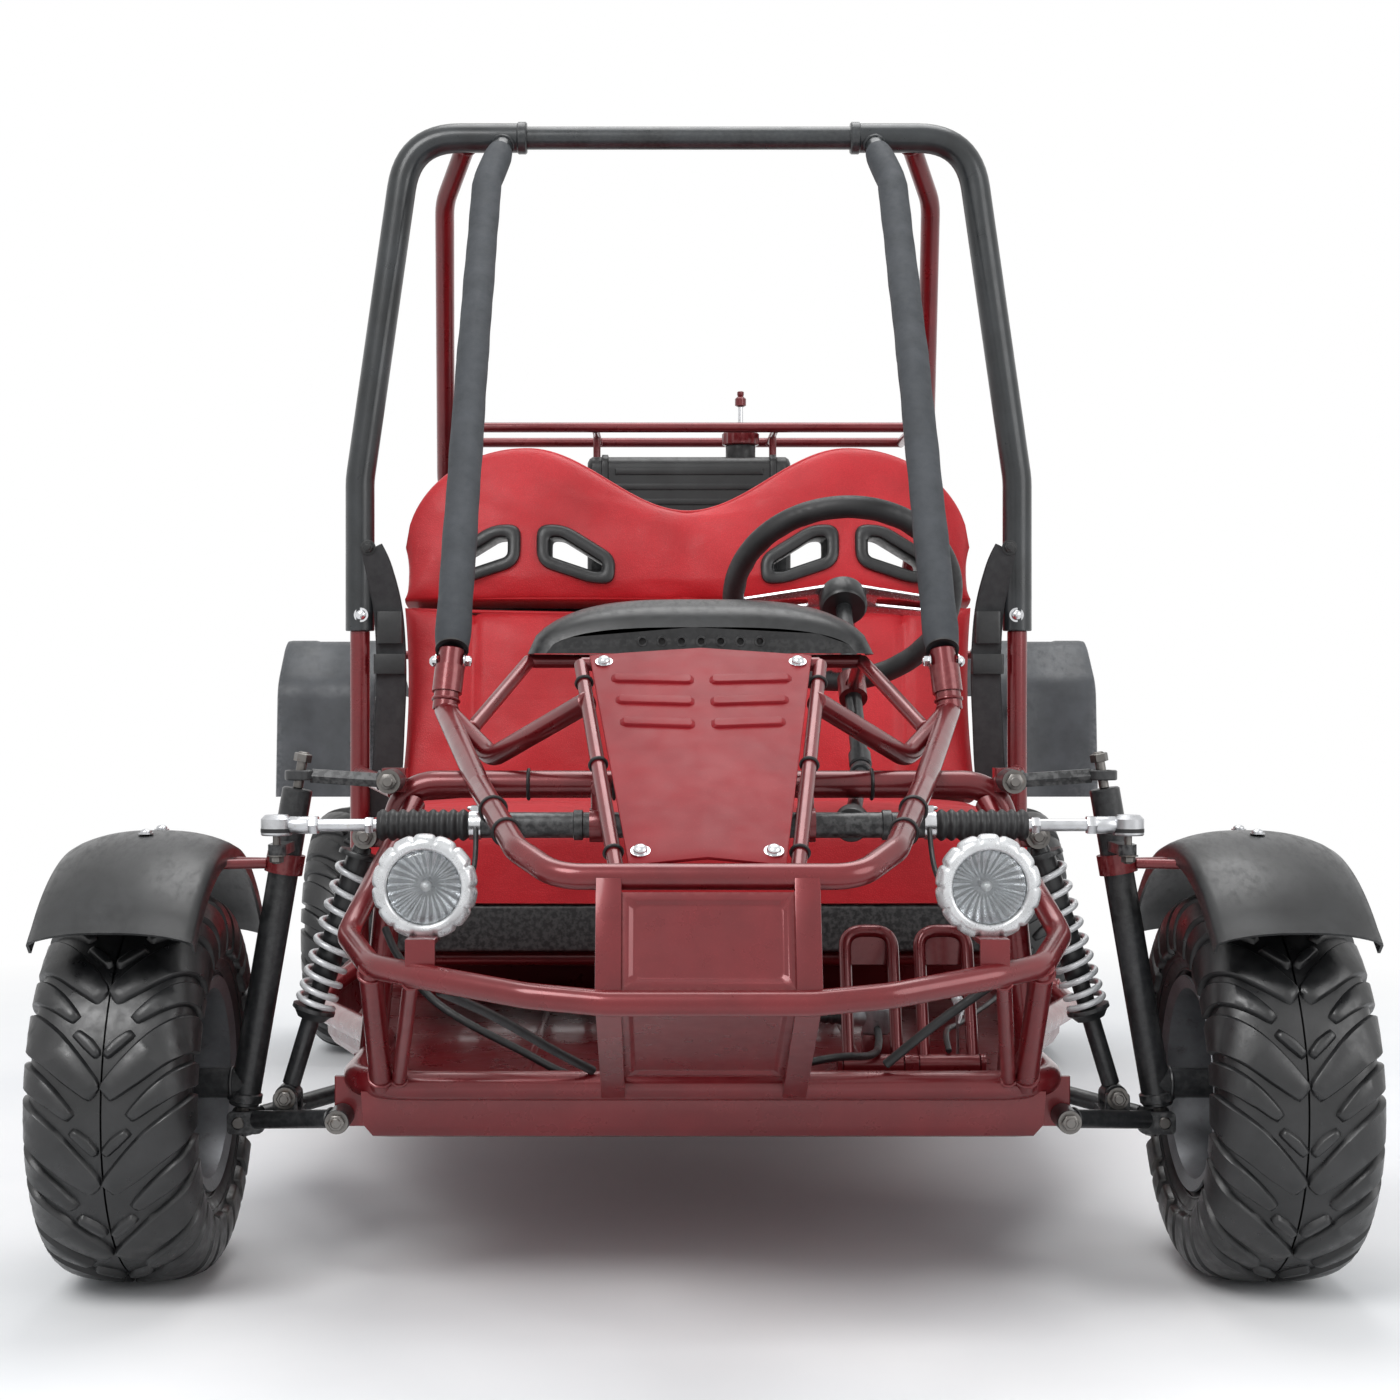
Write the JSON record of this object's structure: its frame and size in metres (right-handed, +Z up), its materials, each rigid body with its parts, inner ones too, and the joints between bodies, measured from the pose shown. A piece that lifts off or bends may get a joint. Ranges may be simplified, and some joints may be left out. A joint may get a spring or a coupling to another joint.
{
  "type": "off road go kart",
  "caption": "Two-seat off-road go-kart: tube frame, roll cage, bench seat, rack steering, sprung front arms, chain-driven live rear axle on a swing arm.",
  "frame": {"origin": "on the ground, under the middle of the overall length and width", "axes": "+Z up, -Y forward (the way the kart drives), +X to the driver's left"},
  "size_m": [1.258, 1.9723, 1.3945],
  "materials": {
    "frame_paint": "metallic red gloss",
    "cage_paint": "satin black",
    "seat_vinyl": "grained vinyl",
    "black_plastic": "fine texture",
    "grey_plastic": "fine texture",
    "cap_plastic": "gloss",
    "foam": "closed-cell foam",
    "rubber": "matt",
    "tyre": "matt",
    "zinc": "zinc plated",
    "cast_metal": "satin",
    "spring_paint": "gloss",
    "lamp": "polished"
  },
  "bodies": {
    "chassis": {"main_frame": "frame_paint", "front_bumper": "frame_paint", "nose_panel": "frame_paint", "dash_cowl": "black_plastic", "roll_cage": "cage_paint", "pillar_pad_left": "foam", "pillar_pad_right": "foam", "seat_shell": "black_plastic", "seat_cushion": "seat_vinyl", "seat_lower_back": "seat_vinyl", "seat_upper_back": "seat_vinyl", "fuel_tank": "black_plastic", "engine": "cast_metal", "rack_housing": "cage_paint", "bellows_left": "rubber", "bellows_right": "rubber", "master_cylinder": "cast_metal", "headlight_left": "lamp", "headlight_right": "lamp", "rear_fender_left": "grey_plastic", "rear_fender_right": "grey_plastic"},
    "fuel_cap": {"fuel_cap": "cap_plastic"},
    "drive_sprocket": {"drive_sprocket": "zinc"},
    "swing_arm": {"swing_arm": "cage_paint", "drive_chain": "zinc"},
    "rear_axle": {"rear_axle": "zinc", "rear_rim_left": "cast_metal", "rear_rim_right": "cast_metal", "rear_tyre_left": "tyre", "rear_tyre_right": "tyre"},
    "rear_shock_body": {"rear_shock_body": "cage_paint", "rear_spring": "spring_paint"},
    "rear_shock_rod": {"rear_shock_rod": "cage_paint"},
    "steering_wheel": {"steering_wheel": "cage_paint"},
    "steering_shaft": {"steering_shaft": "cage_paint"},
    "rack_bar": {"rack_bar": "zinc"},
    "brake_pedal": {"brake_pedal": "frame_paint"},
    "throttle_pedal": {"throttle_pedal": "frame_paint"},
    "lower_arm_right": {"lower_arm_right": "cage_paint"},
    "upper_arm_right": {"upper_arm_right": "cage_paint"},
    "ball_joint_right": {"ball_joint_right": "zinc"},
    "upright_right": {"upright_right": "cage_paint", "front_fender_right": "black_plastic"},
    "front_wheel_right": {"front_rim_right": "cast_metal", "front_tyre_right": "tyre"},
    "shock_body_right": {"shock_body_right": "cage_paint", "spring_right": "spring_paint"},
    "shock_rod_right": {"shock_rod_right": "cage_paint"},
    "tie_rod_right": {"tie_rod_right": "zinc"},
    "lower_arm_left": {"lower_arm_left": "cage_paint"},
    "upper_arm_left": {"upper_arm_left": "cage_paint"},
    "ball_joint_left": {"ball_joint_left": "zinc"},
    "upright_left": {"upright_left": "cage_paint", "front_fender_left": "black_plastic"},
    "front_wheel_left": {"front_rim_left": "cast_metal", "front_tyre_left": "tyre"},
    "shock_body_left": {"shock_body_left": "cage_paint", "spring_left": "spring_paint"},
    "shock_rod_left": {"shock_rod_left": "cage_paint"},
    "tie_rod_left": {"tie_rod_left": "zinc"}
  },
  "joints": [
    {"name": "suspension_right", "type": "hinge", "parent": "chassis", "child": "lower_arm_right", "pos_m": [0.348, -0.6255, 0.174], "axis": [0, -1, 0], "range_deg": [-10, 18], "stiffness_Nm_per_rad": 500, "springref_deg": -11.46},
    {"name": "upper_arm_pivot_right", "type": "hinge", "parent": "chassis", "child": "upper_arm_right", "pos_m": [0.31, -0.6255, 0.494], "axis": [0, -1, 0], "range_deg": [-13, 23]},
    {"name": "ball_joint_tilt_right", "type": "hinge", "parent": "lower_arm_right", "child": "ball_joint_right", "pos_m": [0.46, -0.6255, 0.155], "axis": [0, -1, 0], "range_deg": [-20, 11.5]},
    {"name": "steer_right", "type": "hinge", "parent": "ball_joint_right", "child": "upright_right", "pos_m": [0.46, -0.6255, 0.155], "axis": [-0.1686, 0, 0.9857], "range_deg": [-22, 22]},
    {"name": "front_wheel_spin_right", "type": "hinge", "parent": "upright_right", "child": "front_wheel_right", "pos_m": [0.553, -0.6255, 0.1925], "axis": [1, 0, 0], "continuous": true},
    {"name": "shock_pivot_right", "type": "hinge", "parent": "chassis", "child": "shock_body_right", "pos_m": [0.335, -0.6255, 0.439], "axis": [0, -1, 0], "range_deg": [-2, 2]},
    {"name": "shock_slide_right", "type": "slide", "parent": "shock_body_right", "child": "shock_rod_right", "axis": [-0.2884, 0, 0.9575], "range_m": [-0.0125, 0.021], "deforming": ["spring_right"]},
    {"name": "tie_rod_pivot_right", "type": "hinge", "parent": "rack_bar", "child": "tie_rod_right", "pos_m": [0.304, -0.6955, 0.454], "axis": [0, -1, 0], "range_deg": [-12, 19]},
    {"name": "suspension_left", "type": "hinge", "parent": "chassis", "child": "lower_arm_left", "pos_m": [-0.348, -0.6255, 0.174], "axis": [0, 1, 0], "range_deg": [-10, 18], "stiffness_Nm_per_rad": 500, "springref_deg": -11.46},
    {"name": "upper_arm_pivot_left", "type": "hinge", "parent": "chassis", "child": "upper_arm_left", "pos_m": [-0.31, -0.6255, 0.494], "axis": [0, 1, 0], "range_deg": [-13, 23]},
    {"name": "ball_joint_tilt_left", "type": "hinge", "parent": "lower_arm_left", "child": "ball_joint_left", "pos_m": [-0.46, -0.6255, 0.155], "axis": [0, 1, 0], "range_deg": [-20, 11.5]},
    {"name": "steer_left", "type": "hinge", "parent": "ball_joint_left", "child": "upright_left", "pos_m": [-0.46, -0.6255, 0.155], "axis": [0.1686, 0, 0.9857], "range_deg": [-22, 22]},
    {"name": "front_wheel_spin_left", "type": "hinge", "parent": "upright_left", "child": "front_wheel_left", "pos_m": [-0.553, -0.6255, 0.1925], "axis": [1, 0, 0], "continuous": true},
    {"name": "shock_pivot_left", "type": "hinge", "parent": "chassis", "child": "shock_body_left", "pos_m": [-0.335, -0.6255, 0.439], "axis": [0, 1, 0], "range_deg": [-2, 2]},
    {"name": "shock_slide_left", "type": "slide", "parent": "shock_body_left", "child": "shock_rod_left", "axis": [0.2884, 0, 0.9575], "range_m": [-0.0125, 0.021], "deforming": ["spring_left"]},
    {"name": "tie_rod_pivot_left", "type": "hinge", "parent": "rack_bar", "child": "tie_rod_left", "pos_m": [-0.304, -0.6955, 0.454], "axis": [0, 1, 0], "range_deg": [-12, 19]},
    {"name": "rack_slide", "type": "slide", "parent": "chassis", "child": "rack_bar", "axis": [1, 0, 0], "range_m": [-0.027, 0.027], "deforming": ["bellows_right", "bellows_left"]},
    {"name": "steering_wheel_turn", "type": "hinge", "parent": "chassis", "child": "steering_wheel", "pos_m": [0.19, -0.0555, 0.706], "axis": [0, 0.766, 0.6428], "range_deg": [-110, 110]},
    {"name": "steering_shaft_turn", "type": "hinge", "parent": "chassis", "child": "steering_shaft", "pos_m": [0.19, -0.30829, 0.49388], "axis": [0.1174, 0.9879, 0.1017], "range_deg": [-110, 110]},
    {"name": "rear_suspension", "type": "hinge", "parent": "chassis", "child": "swing_arm", "pos_m": [0, 0.4345, 0.27], "axis": [1, 0, 0], "range_deg": [-6, 8], "stiffness_Nm_per_rad": 3200, "springref_deg": -6.88},
    {"name": "rear_axle_spin", "type": "hinge", "parent": "swing_arm", "child": "rear_axle", "pos_m": [0, 0.7865, 0.2], "axis": [1, 0, 0], "continuous": true},
    {"name": "drive_sprocket_spin", "type": "hinge", "parent": "chassis", "child": "drive_sprocket", "pos_m": [-0.15, 0.4345, 0.27], "axis": [1, 0, 0], "continuous": true},
    {"name": "rear_shock_pivot", "type": "hinge", "parent": "chassis", "child": "rear_shock_body", "pos_m": [0, 0.7745, 0.54], "axis": [1, 0, 0], "range_deg": [-1.8, 1.4]},
    {"name": "rear_shock_slide", "type": "slide", "parent": "rear_shock_body", "child": "rear_shock_rod", "axis": [0, 0.326, 0.9454], "range_m": [-0.026, 0.034], "deforming": ["rear_spring"]},
    {"name": "brake_pedal_press", "type": "hinge", "parent": "chassis", "child": "brake_pedal", "pos_m": [0.178, -0.5655, 0.2], "axis": [1, 0, 0], "range_deg": [0, 22], "stiffness_Nm_per_rad": 12, "springref_deg": -8.59},
    {"name": "throttle_pedal_press", "type": "hinge", "parent": "chassis", "child": "throttle_pedal", "pos_m": [0.256, -0.5655, 0.2], "axis": [1, 0, 0], "range_deg": [0, 22], "stiffness_Nm_per_rad": 6, "springref_deg": -8.59},
    {"name": "fuel_cap_unscrew", "type": "hinge", "parent": "chassis", "child": "fuel_cap", "pos_m": [0.09, 0.7045, 0.986], "axis": [0, 0, 1], "range_deg": [0, 120]}
  ],
  "couplings": [
    {"joint": "upper_arm_pivot_right", "follows": "suspension_right", "ratio": 1.2},
    {"joint": "ball_joint_tilt_right", "follows": "suspension_right", "ratio": -0.92},
    {"joint": "shock_pivot_right", "follows": "suspension_right", "ratio": 0.032},
    {"joint": "shock_slide_right", "follows": "suspension_right", "m_per_rad": 0.0638},
    {"joint": "tie_rod_pivot_right", "follows": "suspension_right", "ratio": 1.042},
    {"joint": "upper_arm_pivot_left", "follows": "suspension_left", "ratio": 1.2},
    {"joint": "ball_joint_tilt_left", "follows": "suspension_left", "ratio": -0.92},
    {"joint": "shock_pivot_left", "follows": "suspension_left", "ratio": 0.032},
    {"joint": "shock_slide_left", "follows": "suspension_left", "m_per_rad": 0.0638},
    {"joint": "tie_rod_pivot_left", "follows": "suspension_left", "ratio": 1.042},
    {"joint": "steer_left", "follows": "steer_right", "ratio": 1},
    {"joint": "rack_slide", "follows": "steer_right", "m_per_rad": 0.07},
    {"joint": "steering_wheel_turn", "follows": "steer_right", "ratio": 5},
    {"joint": "steering_shaft_turn", "follows": "steer_right", "ratio": 5},
    {"joint": "drive_sprocket_spin", "follows": "rear_axle_spin", "ratio": 2.3889},
    {"joint": "rear_shock_pivot", "follows": "rear_suspension", "ratio": -0.211},
    {"joint": "rear_shock_slide", "follows": "rear_suspension", "m_per_rad": 0.2305}
  ]
}
